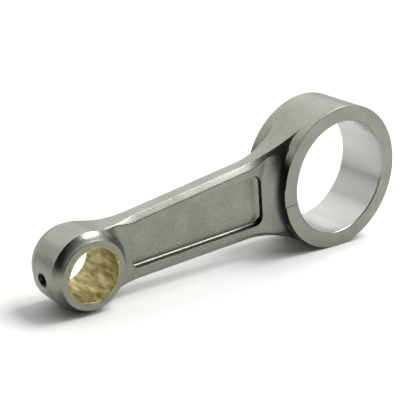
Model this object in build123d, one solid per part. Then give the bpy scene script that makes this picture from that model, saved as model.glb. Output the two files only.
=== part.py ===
from build123d import *
from math import asin, atan2, cos, degrees, radians, sin, sqrt
import os

# A one-piece connecting rod with a bronze bush pressed into its small end.
# The rod is drawn lying along X, with both bore axes along Y, then tilted about the
# big-end axis so that both round ends stand on one level floor.

# distance between the bores
centre_distance = 111.0

# big end, a plain ring
ring_radius = 28.0
ring_half_width = 11.1
big_bore_radius = 22.0
ring_edge_chamfer = 0.2
big_bore_chamfer = 0.5
slot_half_width = 3.6
slot_depth = 0.3

# small end, an eye with a narrower boss on each side
eye_radius = 14.2
boss_radius = 12.1
boss_half_width = 9.95
boss_edge_chamfer = 0.3

# bronze bush in the small end
bush_outer_radius = 10.3
bush_bore_radius = 9.5
bush_chamfer = 0.25

# oil hole through the tip of the eye
oil_hole_radius = 1.6
oil_hole_countersink_radius = 2.7
oil_hole_countersink_depth = 1.1

# beam between the ends
beam_half_thickness = 4.0
beam_mid_half_height = 13.92
edge_taper = radians(3.12)
big_flare_radius = 50.0
small_flare_radius = 40.0
edge_chamfer_width = 2.0
edge_chamfer_depth = 1.6

# the chamfer is cut by a conical cutter, whose ends leave a round run-out
chamfer_cutter_radius = 26.0
chamfer_start = 41.0
chamfer_end = 89.0

# ball-nosed cutter that leaves the fillet between the beam and each end
side_fillet_radius = 6.5
big_fillet_start = 34.2
small_fillet_start = 18.85

# lightening pocket in each side of the beam
pocket_start = 33.3
pocket_end = 92.2
pocket_rim = 2.95
pocket_depth = 2.4
pocket_floor_fillet = 0.8
pocket_end_fillet = 2.2
pocket_big_corner = 3.6
pocket_small_corner = 2.6

# room that the cutting solids leave around the part, and how far a tapered cutter runs past its faces
clear = 4.0
overrun = 1.0
far = 200.0

tilt = asin((ring_radius - eye_radius) / centre_distance)


def edge_height(along):
    """Half height of the beam's straight edge, at a distance from the big end."""
    return beam_mid_half_height + (centre_distance / 2 - along) * sin(edge_taper) / cos(edge_taper)


def flare(end_along, end_radius, flare_radius, side):
    """Centre of the arc that joins the straight edge to an end circle, and its two tangent points."""
    reach = edge_height(end_along) + flare_radius / cos(edge_taper)
    gap = end_radius + flare_radius
    step = reach * sin(edge_taper) + side * sqrt(gap**2 - (reach * cos(edge_taper)) ** 2)
    centre = (end_along + step * cos(edge_taper), reach - step * sin(edge_taper))
    turn = atan2(centre[1], centre[0] - end_along)
    on_circle = (end_along + end_radius * cos(turn), end_radius * sin(turn))
    on_edge = (
        centre[0] - flare_radius * sin(edge_taper),
        centre[1] - flare_radius * cos(edge_taper),
    )
    return centre, on_circle, on_edge


def arc_through(centre, start, end, radius):
    """Arc about a centre, given as the point half way between its ends."""
    middle = ((start[0] + end[0]) / 2 - centre[0], (start[1] + end[1]) / 2 - centre[1])
    length = sqrt(middle[0] ** 2 + middle[1] ** 2)
    halfway = (centre[0] + radius * middle[0] / length, centre[1] + radius * middle[1] / length)
    return ThreePointArc(flat(start), flat(halfway), flat(end))


def flat(point):
    """A point given as distance along the rod and height, in the sketch of the side view."""
    return (-point[0], point[1])


def side_view():
    """Outline of the beam and its flares, seen along the bores."""
    big_centre, big_on_ring, big_on_edge = flare(0, ring_radius, big_flare_radius, 1)
    small_centre, small_on_eye, small_on_edge = flare(centre_distance, eye_radius, small_flare_radius, -1)
    upper = [
        Line(flat((0, 0)), flat(big_on_ring)),
        arc_through(big_centre, big_on_ring, big_on_edge, big_flare_radius),
        Line(flat(big_on_edge), flat(small_on_edge)),
        arc_through(small_centre, small_on_edge, small_on_eye, small_flare_radius),
        Line(flat(small_on_eye), flat((centre_distance, 0))),
        Line(flat((centre_distance, 0)), flat((0, 0))),
    ]
    half = make_face(upper)
    return half + mirror(half, about=Plane.XZ)


def plate(sketch, low, high):
    """Side view sketch given thickness, from low to high along Y."""
    standing = Plane(origin=(0, high, 0), x_dir=(1, 0, 0), z_dir=(0, -1, 0))
    return extrude(standing * sketch, high - low)


def revolved(points, along):
    """Profile of radius and height above the middle plane, turned about a bore axis."""
    profile = Plane.XY * make_face(points)
    return Pos(-along, 0, 0) * revolve(profile, Axis.Y)


def both_sides(solid):
    return solid + mirror(solid, about=Plane.XZ)


def blank():
    outline = side_view()
    outline += Circle(ring_radius)
    outline += Pos(-centre_distance, 0) * Circle(eye_radius)
    return plate(outline, -ring_half_width, ring_half_width)


def side_recess():
    """What is cut from each side between the ring and the small boss, down to the beam."""
    top = ring_half_width + clear
    fillet_centre = beam_half_thickness + side_fillet_radius

    run = big_fillet_start - ring_radius
    wall_foot = fillet_centre - sqrt(side_fillet_radius**2 - run**2)
    half_way = radians(45)
    ring_fillet = ThreePointArc(
        (big_fillet_start, beam_half_thickness),
        (
            big_fillet_start - side_fillet_radius * sin(half_way),
            fillet_centre - side_fillet_radius * cos(half_way),
        ),
        (ring_radius, wall_foot),
    )
    around_ring = [
        ring_fillet,
        Polyline((ring_radius, wall_foot), (ring_radius, top), (far, top), (far, beam_half_thickness)),
        Line((far, beam_half_thickness), (big_fillet_start, beam_half_thickness)),
    ]

    boss_corner = boss_half_width - boss_edge_chamfer
    boss_foot_radius = small_fillet_start - sqrt(side_fillet_radius**2 - (fillet_centre - boss_corner) ** 2)
    boss_fillet = ThreePointArc(
        (small_fillet_start, beam_half_thickness),
        (
            small_fillet_start - side_fillet_radius * sin(half_way),
            fillet_centre - side_fillet_radius * cos(half_way),
        ),
        (boss_foot_radius, boss_corner),
    )
    around_boss = [
        boss_fillet,
        Polyline(
            (boss_foot_radius, boss_corner),
            (boss_radius, boss_half_width),
            (0, boss_half_width),
            (0, top),
            (far, top),
            (far, beam_half_thickness),
        ),
        Line((far, beam_half_thickness), (small_fillet_start, beam_half_thickness)),
    ]
    return revolved(around_ring, 0) & revolved(around_boss, centre_distance)


def edge_chamfer():
    """Sweep of the conical cutter along the beam's upper edge, on the +Y side."""
    slope = edge_chamfer_width / edge_chamfer_depth
    low = beam_half_thickness - edge_chamfer_depth - overrun
    high = beam_half_thickness + overrun
    low_radius = chamfer_cutter_radius + slope * (low - beam_half_thickness)
    high_radius = chamfer_cutter_radius + slope * (high - beam_half_thickness)

    def travel(radius):
        """Outline swept by the cutter at one depth."""
        offset = (chamfer_cutter_radius - edge_chamfer_width) / cos(edge_taper)
        first = flat((chamfer_start, edge_height(chamfer_start) + offset))
        last = flat((chamfer_end, edge_height(chamfer_end) + offset))
        middle = ((first[0] + last[0]) / 2, (first[1] + last[1]) / 2)
        return SlotCenterPoint(middle, first, 2 * radius)

    levels = []
    for height, radius in ((low, low_radius), (high, high_radius)):
        level = Plane(origin=(0, height, 0), x_dir=(1, 0, 0), z_dir=(0, -1, 0))
        levels.append(level * travel(radius))
    cutter = loft(levels, ruled=True)
    return cutter + mirror(cutter, about=Plane.XY)


def pocket():
    """Lightening pocket on the +Y side, with a round floor edge."""
    rim = edge_chamfer_width + pocket_rim
    floor = beam_half_thickness - pocket_depth
    top = beam_half_thickness + clear
    big_height = edge_height(pocket_start) - rim
    small_height = edge_height(pocket_end) - rim
    corners = [
        flat((pocket_start, big_height)),
        flat((pocket_end, small_height)),
        flat((pocket_end, -small_height)),
        flat((pocket_start, -big_height)),
    ]
    outline = make_face(Polyline(*corners, close=True))
    outline = fillet(outline.vertices().group_by(Axis.X)[-1], pocket_big_corner)
    outline = fillet(outline.vertices().group_by(Axis.X)[0], pocket_small_corner)
    cutter = plate(outline, floor, top)
    cutter = fillet(cutter.faces().sort_by(Axis.Y)[0].edges(), pocket_floor_fillet)

    # the end beside the ring has a larger floor fillet
    length = pocket_end - pocket_start + clear
    place = Pos(-(pocket_start + length / 2), (floor + top) / 2, 0)
    end_block = place * Box(length, top - floor, 2 * ring_radius)
    ring_side = end_block.faces().sort_by(Axis.X)[-1]
    foot = ring_side.edges().sort_by(Axis.Y)[0]
    end_block = fillet(foot, pocket_end_fillet)
    return cutter & end_block


def bore_cutter(radius, half_width, chamfer_size):
    """Through bore with a chamfer at each mouth."""
    end = half_width + clear
    mouth = radius + chamfer_size + clear
    profile = Polyline(
        (0, -end),
        (mouth, -end),
        (radius, -half_width + chamfer_size),
        (radius, half_width - chamfer_size),
        (mouth, end),
        (0, end),
        close=True,
    )
    return revolved(profile, 0)


def ring_edge_cutter():
    """Chamfer round the outside of the ring's +Y face."""
    outer = ring_radius + clear
    profile = Polyline(
        (ring_radius - ring_edge_chamfer - clear, ring_half_width + clear),
        (outer, ring_half_width + clear),
        (outer, ring_half_width - ring_edge_chamfer - clear),
        close=True,
    )
    return revolved(profile, 0)


def face_slot():
    """Shallow oil slot across the ring's +Y face, on the beam's side."""
    middle = -(big_bore_radius + ring_radius) / 2
    length = ring_radius - big_bore_radius + 2 * clear
    height = slot_depth + clear
    return Pos(middle, ring_half_width - slot_depth + height / 2, 0) * Box(length, height, 2 * slot_half_width)


def oil_hole():
    """Drilled hole with a countersink, along the rod, from outside the tip into the bore."""
    start = centre_distance + bush_bore_radius - overrun
    tip = centre_distance + eye_radius
    length = tip + clear - start
    drill = Pos(-(start + length / 2), 0, 0) * Rot(0, 90, 0) * Cylinder(oil_hole_radius, length)
    # the cone runs on past the tip, so that it clears the round surface
    steepness = (oil_hole_countersink_radius - oil_hole_radius) / oil_hole_countersink_depth
    mouth_radius = oil_hole_countersink_radius + steepness * overrun
    depth = oil_hole_countersink_depth + overrun
    place = Pos(-(tip + overrun - depth / 2), 0, 0)
    cone = place * Rot(0, -90, 0) * Cone(oil_hole_radius, mouth_radius, depth)
    return drill + cone


def make_rod():
    rod = blank()
    rod -= both_sides(side_recess())
    rod -= both_sides(ring_edge_cutter())
    rod -= both_sides(edge_chamfer())
    rod -= both_sides(pocket())
    rod -= both_sides(face_slot())
    rod -= bore_cutter(big_bore_radius, ring_half_width, big_bore_chamfer)
    rod -= plate(Pos(-centre_distance, 0) * Circle(bush_outer_radius), -ring_half_width, ring_half_width)
    rod -= oil_hole()
    return rod


def make_bush():
    outer = plate(Pos(-centre_distance, 0) * Circle(bush_outer_radius), -boss_half_width, boss_half_width)
    inner = bore_cutter(bush_bore_radius, boss_half_width, bush_chamfer)
    return outer - Pos(-centre_distance, 0, 0) * inner - oil_hole()


parts = {
    "rod_forging": make_rod(),
    "small_end_bush": make_bush(),
}

os.makedirs("parts", exist_ok=True)
standing = Rot(0, -degrees(tilt), 0)
for name, shape in parts.items():
    placed = standing * shape
    solids = placed.solids()
    print(name, len(solids), "solid,", round(sum(s.volume for s in solids)), "mm3")
    export_step(solids[0], f"parts/{name}.step")
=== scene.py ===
import math
import bpy
import bmesh
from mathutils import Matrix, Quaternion, Vector


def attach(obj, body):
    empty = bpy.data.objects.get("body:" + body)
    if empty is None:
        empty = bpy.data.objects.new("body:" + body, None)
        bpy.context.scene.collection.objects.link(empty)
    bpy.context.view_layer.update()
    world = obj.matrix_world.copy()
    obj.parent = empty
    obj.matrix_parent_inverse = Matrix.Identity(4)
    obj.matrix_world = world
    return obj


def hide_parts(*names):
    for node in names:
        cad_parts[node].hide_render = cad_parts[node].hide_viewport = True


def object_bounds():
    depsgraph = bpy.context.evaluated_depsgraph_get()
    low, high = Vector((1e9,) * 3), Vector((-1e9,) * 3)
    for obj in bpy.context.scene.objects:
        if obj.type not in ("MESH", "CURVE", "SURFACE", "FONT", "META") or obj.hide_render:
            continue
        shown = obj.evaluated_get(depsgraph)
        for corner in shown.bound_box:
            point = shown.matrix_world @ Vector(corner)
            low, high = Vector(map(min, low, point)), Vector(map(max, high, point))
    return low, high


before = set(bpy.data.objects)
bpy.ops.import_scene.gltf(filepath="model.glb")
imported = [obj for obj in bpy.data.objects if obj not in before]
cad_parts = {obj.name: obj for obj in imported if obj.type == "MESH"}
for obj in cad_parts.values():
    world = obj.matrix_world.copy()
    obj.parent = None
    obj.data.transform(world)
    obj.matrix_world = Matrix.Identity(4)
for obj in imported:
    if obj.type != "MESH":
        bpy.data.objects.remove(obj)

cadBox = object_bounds()
mm = 0.001


def fromHex(code):
    # sRGB hex to the linear values that the shaders take
    channels = [int(code[i:i + 2], 16) / 255 for i in (1, 3, 5)]
    linear = [c / 12.92 if c <= 0.04045 else ((c + 0.055) / 1.055) ** 2.4 for c in channels]
    return (*linear, 1.0)


def addNode(tree, kind, settings=None, links=None):
    # one node with its settings, its fixed inputs and its incoming links
    node = tree.nodes.new(kind)
    for key, value in (settings or {}).items():
        if isinstance(key, int) or key in node.inputs.keys():
            node.inputs[key].default_value = value
        else:
            setattr(node, key, value)
    for key, source in (links or {}).items():
        tree.links.new(source, node.inputs[key])
    return node


def newMaterial(name):
    material = bpy.data.materials.new(name)
    material.use_nodes = True
    material.node_tree.nodes.clear()
    return material, material.node_tree


# finishes: sizes of marks, clouds and relief in millimetres; marks set the tint and the roughness
blastedLook = {
    "dark": "#73756c",
    "light": "#95978d",
    "roughness": (0.26, 0.34),
    "mark": 0.45,                   # the real shot marks are about 0.2, too fine to show
    "stretch": (1, 1, 1),
    "detail": 3.0,
    "cloudShare": 0.3,
    "reliefDepth": 0.035,
    # painted shade: a near black mixed into the tint where the pocket walls and the fillet roots beside the
    # ring lie in shade
    "paintedShade": "#33342f",
    "wallTurn": (0.5, 0.3),         # painted shade from none on a pocket's floor to full on its steep walls, as the normal's share along Y
    "filletTurn": (0.15, 0.3),      # from the beam's edges to the fillet, the same way
    "rootRadius": (29.4, 28.3),     # from none to full painted shade beside the ring
    "rootBeside": (-14, -18),       # the same along X
    "rootBelow": (14, 7),           # the same along Z
    "rootWall": (8.5, 8.6),         # the same through the thickness, where the ring's wall begins
}
groundLook = {
    "dark": "#787a71",
    "light": "#8f9187",
    "roughness": (0.28, 0.34),
    "mark": 0.4,
    "stretch": (1, 1, 1),
    "detail": 3.0,
    "cloudShare": 0.5,
    "reliefDepth": 0.012,
}
honedLook = {
    "dark": "#a3a3a0",
    "light": "#b8b8b5",
    "roughness": (0.25, 0.34),
    "mark": 10.0,                   # width of the bands along the bore
    "stretch": (1, 0.15, 1),
    "detail": 2.0,
    "relief": (0.4, (1, 1, 1), 2.0),
    "reliefDepth": 0.004,
}
# painted shade: the oil hole's steel tinted near black for the shade inside the hole
drilledHoleShadeLook = {
    "dark": "#1d1d1b",
    "light": "#383835",
    "roughness": (0.35, 0.5),
    "mark": 0.4,
    "stretch": (1, 1, 1),
    "detail": 2.0,
    "reliefDepth": 0.012,
}
bronzeLook = {
    "dark": "#85793d",
    "light": "#c6ba8c",
    "roughness": (0.6, 0.45),
    "mark": 1.5,                    # olive patches, drawn out along the bore
    "stretch": (1, 0.3, 1),
    "detail": 4.0,
    "reliefDepth": 0.015,
}
cloudSize = 9.0                     # mm from a lighter area of the steel to the next
cloudDetail = 2.0
noiseRange = (0.3, 0.7)             # the values that the noise mostly keeps to


def noisePattern(tree, size, stretch, detail):
    # noise of a real size in Object coordinates, drawn out along an axis with a low stretch
    place = addNode(tree, "ShaderNodeTexCoord")
    drawn = addNode(tree, "ShaderNodeMapping", {"Scale": stretch}, {"Vector": place.outputs["Object"]})
    noise = addNode(tree, "ShaderNodeTexNoise", {"Scale": 1 / (size * mm), "Detail": detail}, {
        "Vector": drawn.outputs[0]})
    return noise.outputs["Fac"]


def faceTurn(tree):
    # how squarely a surface faces the part's sides: 1 on a side, 0 on an edge
    facing = addNode(tree, "ShaderNodeNewGeometry")
    turn = addNode(tree, "ShaderNodeSeparateXYZ", {}, {0: facing.outputs["Normal"]})
    squareness = addNode(tree, "ShaderNodeMath", {"operation": "ABSOLUTE"}, {0: turn.outputs["Y"]})
    return squareness.outputs[0]


def pocketWallShade(tree, look):
    # mask of the painted shade: 1 on the steep walls of a pocket, 0 on its floor
    none, full = look["wallTurn"]
    steep = addNode(tree, "ShaderNodeMapRange", {"From Min": none, "From Max": full}, {
        "Value": faceTurn(tree)})
    return steep.outputs["Result"]


def ringRootShade(tree, look):
    # mask of the painted shade: 1 where the fillet meets the ring's wall beside the beam
    place = addNode(tree, "ShaderNodeTexCoord").outputs["Object"]
    flat = addNode(tree, "ShaderNodeVectorMath", {"operation": "MULTIPLY", 1: (1, 0, 1)}, {0: place})
    radius = addNode(tree, "ShaderNodeVectorMath", {"operation": "LENGTH"}, {0: flat.outputs[0]})
    parts = addNode(tree, "ShaderNodeSeparateXYZ", {}, {0: place})
    thick = addNode(tree, "ShaderNodeMath", {"operation": "ABSOLUTE"}, {0: parts.outputs["Y"]})

    # either on the fillet or on the ring's own wall above it
    none, full = look["filletTurn"]
    onFillet = addNode(tree, "ShaderNodeMapRange", {"From Min": none, "From Max": full}, {
        "Value": faceTurn(tree)})
    none, full = look["rootWall"]
    onWall = addNode(tree, "ShaderNodeMapRange", {"From Min": none * mm, "From Max": full * mm}, {
        "Value": thick.outputs[0]})
    share = addNode(tree, "ShaderNodeMath", {"operation": "MAXIMUM"}, {
        0: onFillet.outputs["Result"], 1: onWall.outputs["Result"]})

    limits = [
        (radius.outputs["Value"], look["rootRadius"]),
        (parts.outputs["X"], look["rootBeside"]),
        (parts.outputs["Z"], look["rootBelow"]),
    ]
    for value, (none, full) in limits:
        fade = addNode(tree, "ShaderNodeMapRange", {"From Min": none * mm, "From Max": full * mm}, {
            "Value": value})
        share = addNode(tree, "ShaderNodeMath", {"operation": "MULTIPLY"}, {
            0: share.outputs[0], 1: fade.outputs["Result"]})
    return share.outputs[0]


def makeMetal(name, look, shadeMask=None):
    # a bare metal; the optional mask gives the places where a near black painted shade is mixed into its
    # tint
    material, tree = newMaterial(name)
    marks = noisePattern(tree, look["mark"], look["stretch"], look["detail"])
    relief = noisePattern(tree, *look["relief"]) if "relief" in look else marks
    pattern = marks
    if "cloudShare" in look:
        clouds = noisePattern(tree, cloudSize, (1, 1, 1), cloudDetail)
        both = addNode(tree, "ShaderNodeMix", {"data_type": "FLOAT", "Factor": look["cloudShare"]}, {
            2: marks, 3: clouds})
        pattern = both.outputs[0]
    ramp = addNode(tree, "ShaderNodeValToRGB", {}, {"Fac": pattern})
    for stop, place, code in zip(ramp.color_ramp.elements, noiseRange, (look["dark"], look["light"])):
        stop.position = place
        stop.color = fromHex(code)
    tint = ramp.outputs["Color"]
    # painted shade, mixed into the tint where the mask says
    if shadeMask:
        shaded = addNode(tree, "ShaderNodeMix", {"data_type": "RGBA", 7: fromHex(look["paintedShade"])}, {
            0: shadeMask(tree, look), 6: tint})
        tint = shaded.outputs[2]

    gloss = addNode(tree, "ShaderNodeMapRange", {
        "From Min": noiseRange[0], "From Max": noiseRange[1],
        "To Min": look["roughness"][0], "To Max": look["roughness"][1]}, {"Value": marks})
    bump = addNode(tree, "ShaderNodeBump", {"Distance": look["reliefDepth"] * mm}, {"Height": relief})
    metal = addNode(tree, "ShaderNodeBsdfPrincipled", {"Metallic": 1.0}, {
        "Base Color": tint, "Roughness": gloss.outputs["Result"], "Normal": bump.outputs["Normal"]})
    addNode(tree, "ShaderNodeOutputMaterial", {}, {"Surface": metal.outputs[0]})
    return material


# the rod, in millimetres and degrees, as turned and milled
rodSizes = {
    "centres": 111.0,               # from bore to bore
    "ringRadius": 28.0,
    "ringHalfWidth": 11.1,
    "ringBreak": 0.2,               # chamfer round the ring's edges
    "boreRadius": 22.0,
    "boreChamfer": 0.5,
    "slotHalfWidth": 3.6,           # oil slot across the ring's face
    "slotDepth": 0.3,
    "eyeRadius": 14.2,
    "bossHalfWidth": 9.95,
    "bossBreak": 0.25,
    "seatRadius": 10.3,             # bore that holds the bush
    "seatBreak": 0.05,
    "beamHalfThickness": 4.0,
    "midHalfHeight": 13.92,         # half way between the bores
    "taper": 3.12,
    "bigFlare": 50.0,               # radii of the curves into the ring and the eye
    "smallFlare": 40.0,
    "chamferWidth": 2.0,
    "chamferDepth": 1.6,
    "cutterRadius": 26.0,           # conical cutter of the chamfer, and where it stops
    "cutterStart": 41.0,
    "cutterEnd": 89.0,
    "filletRadius": 6.5,            # ball-nosed cutter round both ends
    "bigFilletStart": 34.2,
    "smallFilletStart": 18.85,
    "edgeBreak": 0.2,
    "ringEntries": (24.5, 27.6),    # the beam's first sections, buried in the ring
    "eyeEntry": 12.4,               # its last section, buried in the eye
    "eyeOverlap": 0.35,
    "entrySink": 1.5,               # how far the beam's sides drop inside the eye
    "blend": 10.0,                  # length over which curved sections turn straight
    "pocket": {
        "start": 33.3,
        "end": 92.2,
        "rim": 2.95,
        "depth": 2.4,
        "floorRound": 0.8,
        "endRound": 2.2,            # larger round at the end beside the ring
        "bigCorner": 3.6,
        "smallCorner": 2.6,
        "mouthBreak": 0.16,
    },
    "oilHole": {"radius": 1.6, "mouthRadius": 2.7, "mouthDepth": 1.1, "start": 119.5, "segments": 48},
    "ringSegments": 224,
    "eyeSegments": 160,
    "cornerSteps": 3,
    "softAngle": 30,                # sharper corners than this stay crisp
    "seamAngle": 8,                 # the same where two shapes meet
}
shapeNumbers = {"beam": 1, "pocket": 2, "ring": 3, "eye": 4, "slot": 5, "oilHole": 6, "bush": 7}
faceMargin = 0.02                   # mm by which a finish may overlap the edge of its surface

taper = math.radians(rodSizes["taper"])
tilt = math.asin((rodSizes["ringRadius"] - rodSizes["eyeRadius"]) / rodSizes["centres"])
alongRod = Vector((-math.cos(tilt), 0, -math.sin(tilt)))
acrossRod = Vector((-math.sin(tilt), 0, math.cos(tilt)))


def toFrame(along, across, thick):
    # millimetres along the rod from the big end, across it and through it, to metres in the frame
    return (alongRod * along + acrossRod * across + Vector((0, thick, 0))) * mm


def straightEdge(along):
    return rodSizes["midHalfHeight"] + (rodSizes["centres"] / 2 - along) * math.tan(taper)


def flareArc(endAlong, endRadius, flareRadius, side):
    # centre of the arc from an end circle to the straight edge, its foot's angle on the circle,
    # and where its other foot is along the rod
    reach = straightEdge(endAlong) + flareRadius / math.cos(taper)
    gap = endRadius + flareRadius
    step = reach * math.sin(taper) + side * math.sqrt(gap ** 2 - (reach * math.cos(taper)) ** 2)
    centre = (endAlong + step * math.cos(taper), reach - step * math.sin(taper))
    turn = math.atan2(centre[1], centre[0] - endAlong)
    return centre, turn, centre[0] - flareRadius * math.sin(taper)


bigArc, bigTurn, bigFoot = flareArc(0, rodSizes["ringRadius"], rodSizes["bigFlare"], 1)
smallArc, smallTurn, smallFoot = flareArc(
    rodSizes["centres"], rodSizes["eyeRadius"], rodSizes["smallFlare"], -1)


def outline(along):
    # half height of the beam with both flares; inside the end circles it runs straight to their centres
    if along < rodSizes["ringRadius"] * math.cos(bigTurn):
        return along * math.tan(bigTurn)
    if along < bigFoot:
        return bigArc[1] - math.sqrt(rodSizes["bigFlare"] ** 2 - (along - bigArc[0]) ** 2)
    if along < smallFoot:
        return straightEdge(along)
    if along < rodSizes["centres"] + rodSizes["eyeRadius"] * math.cos(smallTurn):
        return smallArc[1] - math.sqrt(rodSizes["smallFlare"] ** 2 - (along - smallArc[0]) ** 2)
    return (along - rodSizes["centres"]) * math.tan(smallTurn)


def filletHeight(run):
    # half thickness on the fillet, at a run inside its start; it stops just short of upright
    radius = rodSizes["filletRadius"]
    run = min(max(run, 0), radius * 0.999)
    return rodSizes["beamHalfThickness"] + radius - math.sqrt(radius ** 2 - run ** 2)


def sideHeight(along, across):
    # half thickness of the beam with the fillets at both ends
    fromRing = max(math.hypot(along, across), rodSizes["ringRadius"])
    fromEye = math.hypot(rodSizes["centres"] - along, across)
    big = filletHeight(rodSizes["bigFilletStart"] - fromRing)
    small = filletHeight(rodSizes["smallFilletStart"] - fromEye)
    return max(big, small)


def chamferHeight(along, across):
    # half thickness left by the conical cutter
    offset = (rodSizes["cutterRadius"] - rodSizes["chamferWidth"]) / math.cos(taper)
    nearest = min(max(along, rodSizes["cutterStart"]), rodSizes["cutterEnd"])
    distance = math.hypot(along - nearest, across - straightEdge(nearest) - offset)
    steepness = rodSizes["chamferDepth"] / rodSizes["chamferWidth"]
    return rodSizes["beamHalfThickness"] + (distance - rodSizes["cutterRadius"]) * steepness


def crossing(test, low, high, halvings=40):
    # where a test turns true between two values
    for step in range(halvings):
        middle = (low + high) / 2
        if test(middle):
            high = middle
        else:
            low = middle
    return high


def stationPoint(start, bend, across):
    # a station is an arc across the beam, round the nearer end's centre or straight in the middle
    if abs(bend) < 1e-6:
        return start
    return start - (1 - math.sqrt(max(1 - (bend * across) ** 2, 0))) / bend


def beamStations():
    # places of the beam's sections along the rod, each with its bend, from the ring to the eye
    big, small, centres = rodSizes["bigFilletStart"], rodSizes["smallFilletStart"], rodSizes["centres"]
    radius, blend = rodSizes["filletRadius"], rodSizes["blend"]
    ringSteps, blendSteps, middleSteps, eyeSteps = 14, 8, 24, 12
    ringFoot = math.asin((big - rodSizes["ringRadius"]) / radius)
    eyeFoot = math.asin((small - rodSizes["eyeRadius"] + rodSizes["eyeOverlap"]) / radius)
    stations = [(at, 1 / at) for at in rodSizes["ringEntries"]]
    for step in range(ringSteps + 1):
        at = big - radius * math.sin(ringFoot * (1 - step / ringSteps))
        stations.append((at, 1 / at))
    for step in range(1, blendSteps + 1):
        stations.append((big + blend * step / blendSteps, (1 - step / blendSteps) / big))
    middleStart, middleEnd = big + blend, centres - small - blend
    for step in range(1, middleSteps + 1):
        stations.append((middleStart + (middleEnd - middleStart) * step / middleSteps, 0))
    for step in range(1, blendSteps + 1):
        stations.append((middleEnd + blend * step / blendSteps, -step / blendSteps / small))
    for step in range(1, eyeSteps + 1):
        at = small - radius * math.sin(eyeFoot * step / eyeSteps)
        stations.append((centres - at, -1 / at))
    stations.append((centres - rodSizes["eyeEntry"], -1 / rodSizes["eyeEntry"]))
    return stations


sectionSteps = {"side": 10, "wall": 4}      # points of a quarter of a section on its side and its wall


def beamSection(start, bend):
    # one closed section, from the middle of the near side round the edge to the far side and back below
    edgeBreak = rodSizes["edgeBreak"]
    sideSteps, wallSteps = sectionSteps["side"], sectionSteps["wall"]
    along = lambda v: stationPoint(start, bend, v)
    side = lambda v: sideHeight(along(v), v)
    reach = crossing(lambda v: v > outline(along(v)), 0, rodSizes["ringRadius"] + 2)
    line = crossing(lambda v: chamferHeight(along(v), v) < side(v), 0, reach)
    line = min(line, reach - 2 * edgeBreak)
    edge = min(chamferHeight(along(reach), reach), side(reach) - edgeBreak)
    inEye = rodSizes["eyeRadius"] - 1 > abs(rodSizes["centres"] - start)
    sink = rodSizes["entrySink"] if inEye else 0

    # across the side to the chamfer, over the chamfer and its rounded edge, and down the wall
    inner = [(line - edgeBreak) * k / sideSteps for k in range(sideSteps + 1)]
    quarter = [(v, side(v) - sink) for v in inner]
    firstAcross = line + edgeBreak
    firstHeight = max(min(chamferHeight(along(firstAcross), firstAcross), side(line)), edge)
    lastAcross = reach - edgeBreak * 0.6
    lastHeight = edge + (firstHeight - edge) * (reach - lastAcross) / (reach - line)
    quarter.append((firstAcross, firstHeight - sink))
    quarter.append(((firstAcross + lastAcross) / 2, (firstHeight + lastHeight) / 2 - sink))
    quarter.append((lastAcross, lastHeight - sink))
    wallTop = edge - edgeBreak * 0.8 - sink
    quarter += [(reach, wallTop * k / wallSteps) for k in range(wallSteps, -1, -1)]
    far = [(v, -y) for v, y in reversed(quarter[:-1])]
    right = quarter + far
    left = [(-v, y) for v, y in reversed(right[1:-1])]
    return [toFrame(along(abs(v)), v, y) for v, y in right + left]


def markShape(mesh, shape):
    # every face keeps the number of the shape it came from, so the seams can be found later
    layer = mesh.attributes.new("shape", "INT", "FACE")
    layer.data.foreach_set("value", [shapeNumbers[shape]] * len(mesh.polygons))


def newPiece(name, bm, material, shape):
    mesh = bpy.data.meshes.new(name)
    bmesh.ops.recalc_face_normals(bm, faces=bm.faces)
    for face in bm.faces:
        face.smooth = True
    bm.to_mesh(mesh)
    bm.free()
    mesh.materials.append(material)
    markShape(mesh, shape)
    piece = bpy.data.objects.new(name, mesh)
    bpy.context.scene.collection.objects.link(piece)
    return piece


def loftRings(bm, rings, closeEnds=True):
    # closed rings of points joined by quads
    rows = [[bm.verts.new(point) for point in ring] for ring in rings]
    count = len(rows[0])
    for first, second in zip(rows, rows[1:]):
        for k in range(count):
            bm.faces.new((first[k], first[(k + 1) % count], second[(k + 1) % count], second[k]))
    if closeEnds:
        bm.faces.new(rows[0])
        bm.faces.new(rows[-1])
    return rows


def closeSection(bm, row):
    # closes a beam section by strips from side to side, so that a curved section keeps its curve
    count, wall = len(row), sectionSteps["wall"] + 1
    quarter = count // 4
    for middle in (quarter, 3 * quarter):
        bm.faces.new([row[(middle + k) % count] for k in range(-wall, wall + 1)])
    near = [row[(quarter - k) % count] for k in range(wall, 2 * quarter - wall + 1)]
    far = [row[quarter + k] for k in range(wall, 2 * quarter - wall + 1)]
    for k in range(len(near) - 1):
        bm.faces.new((near[k], near[k + 1], far[k + 1], far[k]))


def makeBeam(material):
    bm = bmesh.new()
    rows = loftRings(bm, [beamSection(start, bend) for start, bend in beamStations()], closeEnds=False)
    closeSection(bm, rows[0])
    closeSection(bm, rows[-1])
    return newPiece("beam", bm, material, "beam")


def pocketRing(spread, endSpread, height):
    # outline of the pocket, spread outwards by one distance at its sides and another at its big end
    pocket = rodSizes["pocket"]
    rim = rodSizes["chamferWidth"] + pocket["rim"]
    cornerSteps, leastCorner = 10, 0.4
    half = lambda u: straightEdge(u) - rim + spread / math.cos(taper)
    ends = (
        (pocket["start"] - endSpread, pocket["bigCorner"], 1, math.pi, math.pi / 2 - taper),
        (pocket["end"] + spread, pocket["smallCorner"], -1, math.pi / 2 - taper, 0),
    )
    points = []
    for along, corner, inward, first, last in ends:
        corner = max(corner + spread, leastCorner)
        centreAlong = along + inward * corner
        centreAcross = half(centreAlong) - corner / math.cos(taper)
        for k in range(cornerSteps + 1):
            turn = first + (last - first) * k / cornerSteps
            points.append((centreAlong + corner * math.cos(turn), centreAcross + corner * math.sin(turn)))
    loop = points + [(u, -v) for u, v in reversed(points)]
    return [toFrame(u, v, height) for u, v in loop]


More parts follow.
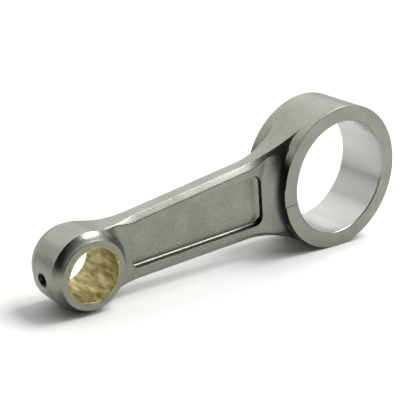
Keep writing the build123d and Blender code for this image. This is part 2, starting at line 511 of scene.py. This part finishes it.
def pocketCutter(side, material):
    # rings from the pocket's floor up its round foot and its wall, and out over its broken edge
    pocket = rodSizes["pocket"]
    half = rodSizes["beamHalfThickness"]
    floor = half - pocket["depth"]
    mouth = pocket["mouthBreak"]
    footSteps = 8
    rings = []
    for k in range(footSteps + 1):
        turn = math.pi / 2 * k / footSteps
        rise = 1 - math.cos(turn)
        run = 1 - math.sin(turn)
        height = floor + pocket["floorRound"] * rise
        rings.append((-pocket["floorRound"] * run, -pocket["endRound"] * run, height))
    for spread, height in (
        (0, half - mouth),
        (mouth * 0.3, half - mouth * 0.4),
        (mouth, half),
        (mouth * 3, half + mouth),
        (mouth * 3, half + 1),
    ):
        rings.append((spread, spread, height))
    bm = bmesh.new()
    loftRings(bm, [pocketRing(spread, endSpread, height * side) for spread, endSpread, height in rings])
    return newPiece("pocketCutter", bm, material, "pocket")


def plain(piece):
    # the evaluated shape becomes the piece's own mesh, and its modifiers go
    depsgraph = bpy.context.evaluated_depsgraph_get()
    mesh = bpy.data.meshes.new_from_object(piece.evaluated_get(depsgraph))
    piece.modifiers.clear()
    piece.data = mesh


def cut(piece, tool, operation="DIFFERENCE"):
    # exact Boolean, applied at once, and the tool is thrown away
    step = piece.modifiers.new("cut", "BOOLEAN")
    step.operation = operation
    step.object = tool
    step.solver = "EXACT"
    step.material_mode = "TRANSFER"
    plain(piece)
    bpy.data.objects.remove(tool)


def sharpen(piece):
    # crisp edges where two shapes meet and where one shape turns a real corner, smooth shading elsewhere
    bm = bmesh.new()
    bm.from_mesh(piece.data)
    shape = bm.faces.layers.int["shape"]
    for edge in bm.edges:
        first, second = edge.link_faces[:2]
        limit = rodSizes["softAngle"] if first[shape] == second[shape] else rodSizes["seamAngle"]
        edge.smooth = edge.calc_face_angle(0) < math.radians(limit)
    for face in bm.faces:
        face.smooth = True
    bm.to_mesh(piece.data)
    bm.free()
    weighting = piece.modifiers.new("weighting", "WEIGHTED_NORMAL")
    weighting.keep_sharp = True
    plain(piece)


def profileMesh(corners, material):
    # profile corners as (radius, height, corner size); the size goes to the tree as an attribute
    mesh = bpy.data.meshes.new("profile")
    count = len(corners)
    points = [(radius * mm, height * mm, 0) for radius, height, size in corners]
    mesh.from_pydata(points, [(k, (k + 1) % count) for k in range(count)], [])
    attribute = mesh.attributes.new("cornerSize", "FLOAT", "POINT")
    attribute.data.foreach_set("value", [size * mm for radius, height, size in corners])
    mesh.materials.append(material)
    return mesh


def turningTree():
    # turns a closed profile (radius in X, height in Y) about an axis along Y, as on a lathe
    tree = bpy.data.node_groups.new("turning", "GeometryNodeTree")
    sockets = [
        ("Profile", "INPUT", "NodeSocketGeometry"),
        ("Segments", "INPUT", "NodeSocketInt"),
        ("Corner Steps", "INPUT", "NodeSocketInt"),
        ("Axis Place", "INPUT", "NodeSocketVector"),
        ("Bore Finish Radius", "INPUT", "NodeSocketFloat"),
        ("Face Finish Height", "INPUT", "NodeSocketFloat"),
        ("Body Finish", "INPUT", "NodeSocketMaterial"),
        ("Bore Finish", "INPUT", "NodeSocketMaterial"),
        ("Face Finish", "INPUT", "NodeSocketMaterial"),
        ("Turned", "OUTPUT", "NodeSocketGeometry"),
    ]
    for name, way, kind in sockets:
        tree.interface.new_socket(name, in_out=way, socket_type=kind)
    given = addNode(tree, "NodeGroupInput").outputs

    # profile with its corners rounded
    cornerSize = addNode(tree, "GeometryNodeInputNamedAttribute", {
        "data_type": "FLOAT", "Name": "cornerSize"})
    curve = addNode(tree, "GeometryNodeMeshToCurve", {}, {"Mesh": given["Profile"]})
    rounded = addNode(tree, "GeometryNodeFilletCurve", {"mode": "POLY"}, {
        "Curve": curve.outputs["Curve"],
        "Radius": cornerSize.outputs["Attribute"],
        "Count": given["Corner Steps"]})
    size = addNode(tree, "GeometryNodeAttributeDomainSize", {"component": "CURVE"}, {
        "Geometry": rounded.outputs["Curve"]})
    around = size.outputs["Point Count"]

    # a grid one unit wide, with the profile's points along X and the turns along Y, both closed by one more
    rows = addNode(tree, "ShaderNodeMath", {"operation": "ADD", 1: 1.0}, {0: around})
    columns = addNode(tree, "ShaderNodeMath", {"operation": "ADD", 1: 1.0}, {0: given["Segments"]})
    grid = addNode(tree, "GeometryNodeMeshGrid", {"Size X": 1.0, "Size Y": 1.0}, {
        "Vertices X": rows.outputs[0], "Vertices Y": columns.outputs[0]})
    place = addNode(tree, "GeometryNodeInputPosition").outputs[0]
    spot = addNode(tree, "ShaderNodeSeparateXYZ", {}, {0: place})

    # the profile point of each grid column
    share = addNode(tree, "ShaderNodeMath", {"operation": "ADD", 1: 0.5}, {0: spot.outputs["X"]})
    step = addNode(tree, "ShaderNodeMath", {"operation": "MULTIPLY"}, {0: share.outputs[0], 1: around})
    whole = addNode(tree, "ShaderNodeMath", {"operation": "ROUND"}, {0: step.outputs[0]})
    index = addNode(tree, "ShaderNodeMath", {"operation": "MODULO"}, {0: whole.outputs[0], 1: around})
    point = addNode(tree, "GeometryNodeSampleIndex", {"data_type": "FLOAT_VECTOR"}, {
        "Geometry": rounded.outputs["Curve"], "Value": place, "Index": index.outputs[0]})
    profile = addNode(tree, "ShaderNodeSeparateXYZ", {}, {0: point.outputs["Value"]})

    # turned about the axis by the grid row's share of a full turn
    share = addNode(tree, "ShaderNodeMath", {"operation": "ADD", 1: 0.5}, {0: spot.outputs["Y"]})
    turn = addNode(tree, "ShaderNodeMath", {"operation": "MULTIPLY", 1: 2 * math.pi}, {0: share.outputs[0]})
    cosine = addNode(tree, "ShaderNodeMath", {"operation": "COSINE"}, {0: turn.outputs[0]})
    sine = addNode(tree, "ShaderNodeMath", {"operation": "SINE"}, {0: turn.outputs[0]})
    right = addNode(tree, "ShaderNodeMath", {"operation": "MULTIPLY"}, {
        0: profile.outputs["X"], 1: cosine.outputs[0]})
    up = addNode(tree, "ShaderNodeMath", {"operation": "MULTIPLY"}, {
        0: profile.outputs["X"], 1: sine.outputs[0]})
    turned = addNode(tree, "ShaderNodeCombineXYZ", {}, {
        "X": right.outputs[0], "Y": profile.outputs["Y"], "Z": up.outputs[0]})
    moved = addNode(tree, "ShaderNodeVectorMath", {"operation": "ADD"}, {
        0: turned.outputs[0], 1: given["Axis Place"]})
    shape = addNode(tree, "GeometryNodeSetPosition", {}, {
        "Geometry": grid.outputs["Mesh"], "Position": moved.outputs[0]})
    closed = addNode(tree, "GeometryNodeMergeByDistance", {"Distance": 0.001 * mm}, {
        "Geometry": shape.outputs["Geometry"]})
    smooth = addNode(tree, "GeometryNodeSetShadeSmooth", {}, {"Geometry": closed.outputs["Geometry"]})
    real = addNode(tree, "GeometryNodeRealizeInstances", {}, {"Geometry": smooth.outputs["Geometry"]})

    # finishes: all over, then the flat faces, then the bore
    offAxis = addNode(tree, "ShaderNodeVectorMath", {"operation": "SUBTRACT"}, {
        0: place, 1: given["Axis Place"]})
    flat = addNode(tree, "ShaderNodeVectorMath", {"operation": "MULTIPLY", 1: (1, 0, 1)}, {
        0: offAxis.outputs[0]})
    radius = addNode(tree, "ShaderNodeVectorMath", {"operation": "LENGTH"}, {0: flat.outputs[0]})
    inBore = addNode(tree, "ShaderNodeMath", {"operation": "LESS_THAN"}, {
        0: radius.outputs["Value"], 1: given["Bore Finish Radius"]})
    parts = addNode(tree, "ShaderNodeSeparateXYZ", {}, {0: offAxis.outputs[0]})
    height = addNode(tree, "ShaderNodeMath", {"operation": "ABSOLUTE"}, {0: parts.outputs["Y"]})
    onFace = addNode(tree, "ShaderNodeMath", {"operation": "GREATER_THAN"}, {
        0: height.outputs[0], 1: given["Face Finish Height"]})
    finish = addNode(tree, "GeometryNodeSetMaterial", {}, {
        "Geometry": real.outputs["Geometry"], "Material": given["Body Finish"]})
    for where, name in ((onFace, "Face Finish"), (inBore, "Bore Finish")):
        finish = addNode(tree, "GeometryNodeSetMaterial", {}, {
            "Geometry": finish.outputs["Geometry"], "Selection": where.outputs[0], "Material": given[name]})
    addNode(tree, "NodeGroupOutput", {}, {0: finish.outputs["Geometry"]})
    return tree


def turnedPiece(name, corners, sizes, shape):
    # a piece turned by the tree, made a plain mesh
    piece = bpy.data.objects.new(name, profileMesh(corners, sizes["Body Finish"]))
    bpy.context.scene.collection.objects.link(piece)
    turning = piece.modifiers.new("turning", "NODES")
    turning.node_group = turningGroup
    for item in turningGroup.interface.items_tree:
        if item.name in sizes:
            turning[item.identifier] = sizes[item.name]
    plain(piece)
    markShape(piece.data, shape)
    return piece


def makeEye(body, face):
    # the eye with a boss on each side; the fillet round each boss is an arc of the ball-nosed cutter
    radius = rodSizes["filletRadius"]
    centre = (rodSizes["smallFilletStart"], rodSizes["beamHalfThickness"] + radius)
    top, seat, edge = rodSizes["bossHalfWidth"], rodSizes["seatRadius"], rodSizes["eyeRadius"]
    first = math.acos((centre[1] - top) / radius)
    last = math.asin((centre[0] - edge) / radius)
    arcSteps = 12
    arc = []
    for k in range(arcSteps + 1):
        turn = first + (last - first) * k / arcSteps
        arc.append((centre[0] - radius * math.sin(turn), centre[1] - radius * math.cos(turn)))
    half = [(seat, top, rodSizes["seatBreak"]), (*arc[0], rodSizes["bossBreak"])]
    half += [(r, h, 0) for r, h in arc[1:-1]]
    half.append((*arc[-1], rodSizes["edgeBreak"]))
    corners = half + [(r, -h, size) for r, h, size in reversed(half)]
    return turnedPiece("eye", corners, {
        "Segments": rodSizes["eyeSegments"],
        "Corner Steps": rodSizes["cornerSteps"],
        "Axis Place": toFrame(rodSizes["centres"], 0, 0),
        "Bore Finish Radius": (seat + faceMargin) * mm,
        "Face Finish Height": (top - faceMargin) * mm,
        "Body Finish": body,
        "Bore Finish": body,
        "Face Finish": face,
    }, "eye")


def rectangleProfile(inner, outer, half, innerBreak, outerBreak):
    return [(inner, -half, innerBreak), (outer, -half, outerBreak),
            (outer, half, outerBreak), (inner, half, innerBreak)]


def makeRing(body, bore, face):
    inner, outer, half = rodSizes["boreRadius"], rodSizes["ringRadius"], rodSizes["ringHalfWidth"]
    corners = rectangleProfile(inner, outer, half, rodSizes["boreChamfer"], rodSizes["ringBreak"])
    chamferShare = 0.7      # the bore's finish runs this far over its chamfer
    return turnedPiece("ring", corners, {
        "Segments": rodSizes["ringSegments"],
        "Corner Steps": rodSizes["cornerSteps"],
        "Axis Place": (0, 0, 0),
        "Bore Finish Radius": (inner + rodSizes["boreChamfer"] * chamferShare) * mm,
        "Face Finish Height": (half - faceMargin) * mm,
        "Body Finish": body,
        "Bore Finish": bore,
        "Face Finish": face,
    }, "ring")


def slotCutter(side, material):
    # a flat block through the ring's wall, on the side of the beam
    inner, outer, width = rodSizes["boreRadius"] - 2, rodSizes["ringRadius"] + 2, rodSizes["slotHalfWidth"]
    low, high = rodSizes["ringHalfWidth"] - rodSizes["slotDepth"], rodSizes["ringHalfWidth"] + 1
    plan = ((inner, -width), (outer, -width), (outer, width), (inner, width))
    bm = bmesh.new()
    loftRings(bm, [[toFrame(u, v, height * side) for u, v in plan] for height in (low, high)])
    return newPiece("slotCutter", bm, material, "slot")


def oilDrill(material):
    # drill and countersink in one tool, along the rod from beyond the tip
    hole = rodSizes["oilHole"]
    tip = rodSizes["centres"] + rodSizes["eyeRadius"]
    steep = (hole["mouthRadius"] - hole["radius"]) / hole["mouthDepth"]
    stages = [
        (hole["start"], hole["radius"]),
        (tip - hole["mouthDepth"], hole["radius"]),
        (tip + 1, hole["mouthRadius"] + steep),
    ]
    turns = [2 * math.pi * k / hole["segments"] for k in range(hole["segments"])]
    bm = bmesh.new()
    loftRings(bm, [[toFrame(along, radius * math.cos(turn), radius * math.sin(turn)) for turn in turns]
                   for along, radius in stages])
    return newPiece("oilDrill", bm, material, "oilHole")


print("finishes")
# forged alloy steel, shot-blasted: dull silver grey with a fine even sparkle and faint clouds,
# and a nearly black painted shade in the fillet roots beside the ring
blasted = makeMetal("shotBlastedSteelRootShade", blastedLook, ringRootShade)
# the same steel with a nearly black painted shade on the pocket walls
pocketShaded = makeMetal("shotBlastedPocketWallShade", blastedLook, pocketWallShade)
# the same steel ground flat: the same grey but more even, with a faint grain
ground = makeMetal("surfaceGroundSteel", groundLook)
# honed bore: bright and smooth, with soft bands along it
honed = makeMetal("honedSteel", honedLook)
# drilled oil hole: painted dark, a painted shade for the inside of the deep hole
drilled = makeMetal("drilledHoleShade", drilledHoleShadeLook)
# bearing bronze, reamed: dull gold with olive patches where the reamer has rubbed
bronze = makeMetal("reamedBronze", bronzeLook)

print("rod body")
turningGroup = turningTree()
rod = makeBeam(blasted)
for side in (1, -1):
    cut(rod, pocketCutter(side, pocketShaded))
ring = makeRing(blasted, honed, ground)
for side in (1, -1):
    cut(ring, slotCutter(side, ground))
cut(rod, ring, "UNION")
cut(rod, makeEye(blasted, ground), "UNION")
cut(rod, oilDrill(drilled))
rod.name = "rodBody"
sharpen(rod)
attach(rod, "root")
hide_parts("rod_forging")

print("bush")
bushSizes = {               # millimetres
    "bore": 9.5,
    "outer": 10.3,
    "halfWidth": 9.95,
    "mouthBreak": 0.25,
    "outerBreak": 0.08,
    "segments": 144,
    "cornerSteps": 3,
}
bushProfile = rectangleProfile(
    bushSizes["bore"], bushSizes["outer"], bushSizes["halfWidth"],
    bushSizes["mouthBreak"], bushSizes["outerBreak"])
bush = turnedPiece("smallEndBush", bushProfile, {
    "Segments": bushSizes["segments"],
    "Corner Steps": bushSizes["cornerSteps"],
    "Axis Place": toFrame(rodSizes["centres"], 0, 0),
    "Body Finish": bronze,
    "Bore Finish": bronze,
    "Face Finish": bronze,
}, "bush")
cut(bush, oilDrill(bronze))
sharpen(bush)
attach(bush, "root")
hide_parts("small_end_bush")

# the studio, in metres and degrees; a softbox has a name, a direction from the part, a distance,
# a width and height, and a radiance
studio = {
    "floorSize": 60.0,
    "floorColour": "#f6f6f4",
    "floorRoughness": 0.9,
    "aim": (-0.0546, 0.0007, -0.0047),
    "azimuth": -38.72,
    "elevation": 20.35,
    "roll": 1.70,
    "distance": 0.4344,
    "lens": 104.24,
    "backDirection": (0.45, 0.85, 0.25),
    "backShare": (-0.3, 0.9),       # where the room starts to get lighter, and where it is lightest
    "roomDark": 0.0,
    "roomBright": 1.0,
    "softboxes": [
        ("keySoftbox", (0.5, -0.1, 0.85), 1.0, (0.55, 0.55), 9.8),
        ("sideSoftbox", (0.54, -0.56, 0.64), 1.2, (0.6, 0.5), 3.7),
        ("backSoftbox", (0.3, 1.0, 0.9), 1.5, (2.0, 1.2), 0.95),
        ("leftSoftbox", (-0.55, 0.8, 0.36), 1.5, (1.0, 0.8), 0.7),
    ],
}


def makeFloor():
    # pale card, level with the lowest point of both round ends
    half = studio["floorSize"] / 2
    low = cadBox[0][2]
    mesh = bpy.data.meshes.new("floor")
    corners = [(-half, -half, low), (half, -half, low), (half, half, low), (-half, half, low)]
    mesh.from_pydata(corners, [], [(0, 1, 2, 3)])
    floor = bpy.data.objects.new("floor", mesh)
    bpy.context.scene.collection.objects.link(floor)
    material, tree = newMaterial("paleCard")
    card = addNode(tree, "ShaderNodeBsdfPrincipled", {
        "Base Color": fromHex(studio["floorColour"]), "Roughness": studio["floorRoughness"]})
    addNode(tree, "ShaderNodeOutputMaterial", {}, {"Surface": card.outputs[0]})
    mesh.materials.append(material)


def makeCamera():
    azimuth = math.radians(studio["azimuth"])
    elevation = math.radians(studio["elevation"])
    away = Vector((
        math.sin(azimuth) * math.cos(elevation),
        -math.cos(azimuth) * math.cos(elevation),
        math.sin(elevation),
    ))
    camera = bpy.data.cameras.new("camera")
    camera.lens = studio["lens"]
    camera.sensor_width = 36.0
    camera.clip_start = 0.01
    holder = bpy.data.objects.new("camera", camera)
    bpy.context.scene.collection.objects.link(holder)
    roll = Quaternion((0, 0, 1), math.radians(studio["roll"]))
    holder.rotation_mode = "QUATERNION"
    holder.rotation_quaternion = away.to_track_quat("Z", "Y") @ roll
    holder.location = Vector(studio["aim"]) + away * studio["distance"]
    bpy.context.scene.camera = holder


def addSoftbox(name, direction, reach, size, radiance):
    # an area light turned towards the part; its power follows from the brightness of its face
    light = bpy.data.lights.new(name, "AREA")
    light.shape = "RECTANGLE"
    light.size, light.size_y = size
    light.energy = radiance * math.pi * size[0] * size[1]
    holder = bpy.data.objects.new(name, light)
    bpy.context.scene.collection.objects.link(holder)
    towards = Vector(direction).normalized()
    holder.location = Vector(studio["aim"]) + towards * reach
    holder.rotation_mode = "QUATERNION"
    holder.rotation_quaternion = towards.to_track_quat("Z", "Y")


def makeRoom():
    # the room in front of the part is dark, and the wall behind it is pale
    world = bpy.data.worlds.new("studio")
    bpy.context.scene.world = world
    world.use_nodes = True
    tree = world.node_tree
    tree.nodes.clear()
    direction = addNode(tree, "ShaderNodeTexCoord")
    depth = addNode(tree, "ShaderNodeVectorMath", {"operation": "DOT_PRODUCT", 1: studio["backDirection"]}, {
        0: direction.outputs["Generated"]})
    level = addNode(tree, "ShaderNodeMapRange", {
        "From Min": studio["backShare"][0], "From Max": studio["backShare"][1],
        "To Min": studio["roomDark"], "To Max": studio["roomBright"]}, {"Value": depth.outputs["Value"]})
    room = addNode(tree, "ShaderNodeBackground", {}, {"Strength": level.outputs["Result"]})
    addNode(tree, "ShaderNodeOutputWorld", {}, {"Surface": room.outputs[0]})


print("studio")
makeFloor()
makeCamera()
makeRoom()
for softbox in studio["softboxes"]:
    addSoftbox(*softbox)
bpy.context.scene.view_settings.view_transform = "Standard"
